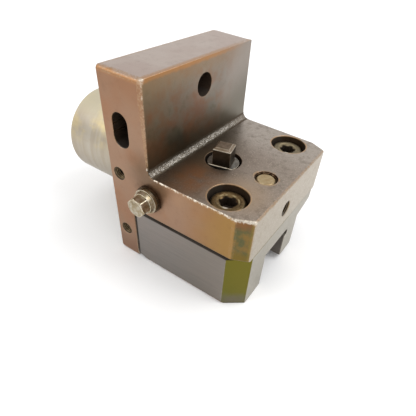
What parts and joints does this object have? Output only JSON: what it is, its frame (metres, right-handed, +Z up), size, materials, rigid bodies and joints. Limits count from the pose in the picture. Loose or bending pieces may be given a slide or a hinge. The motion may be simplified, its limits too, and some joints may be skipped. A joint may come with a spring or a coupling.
{
  "type": "turret tool holder",
  "caption": "L-shaped turret tool holder with a round ground shank and a square-headed spindle that drives a shoe onto a tool in the channel under its arm.",
  "frame": {"origin": "shank axis at the plate's back face", "axes": "+X from the plate to the front of the arm (the shank points to -X), +Z up to the plate's top, +Y away from the coolant plug"},
  "size_m": [0.1041, 0.0736, 0.08],
  "materials": {
    "oxide_steel": "bronze-brown oxidised, worn",
    "ground_steel": "ground, light patina",
    "block_steel": "ground grey",
    "screw_steel": "oxidised, worn bright on the edges",
    "dark_steel": "blackened",
    "collar_steel": "plain grey",
    "pin_steel": "hardened and ground",
    "bronze": "plain bearing bronze",
    "plated": "plated, golden tint",
    "copper_seal": "soft copper",
    "seal_rubber": "matt black"
  },
  "bodies": {
    "holder": {"holder_body": "oxide_steel", "shank": "ground_steel", "shank_screws": "dark_steel", "shank_dowel": "pin_steel", "flange_oring": "seal_rubber", "inlet_oring": "seal_rubber", "clamp_block": "block_steel", "cap_screws": "screw_steel", "locating_pin": "pin_steel", "block_dowels": "pin_steel", "lock_screw": "dark_steel", "lock_tip": "bronze", "spindle_washer": "collar_steel", "spindle_bush": "bronze", "coolant_plug": "plated", "plug_washer": "copper_seal", "side_screws": "dark_steel"},
    "spindle": {"clamp_spindle": "dark_steel", "spindle_collar": "collar_steel", "spindle_clip": "dark_steel"},
    "shoe": {"clamp_shoe": "block_steel", "shoe_pad": "pin_steel", "pad_screws": "dark_steel"}
  },
  "joints": [
    {"name": "spindle_turn", "type": "hinge", "parent": "holder", "child": "spindle", "pos_m": [0.033, -0.0053, 0], "axis": [0, 0, -1], "range_deg": [0, 180]},
    {"name": "shoe_press", "type": "slide", "parent": "holder", "child": "shoe", "axis": [0, 0, -1], "range_m": [0, 0.002]}
  ],
  "couplings": [
    {"joint": "spindle_turn", "follows": "shoe_press", "rad_per_m": 1570.8}
  ]
}
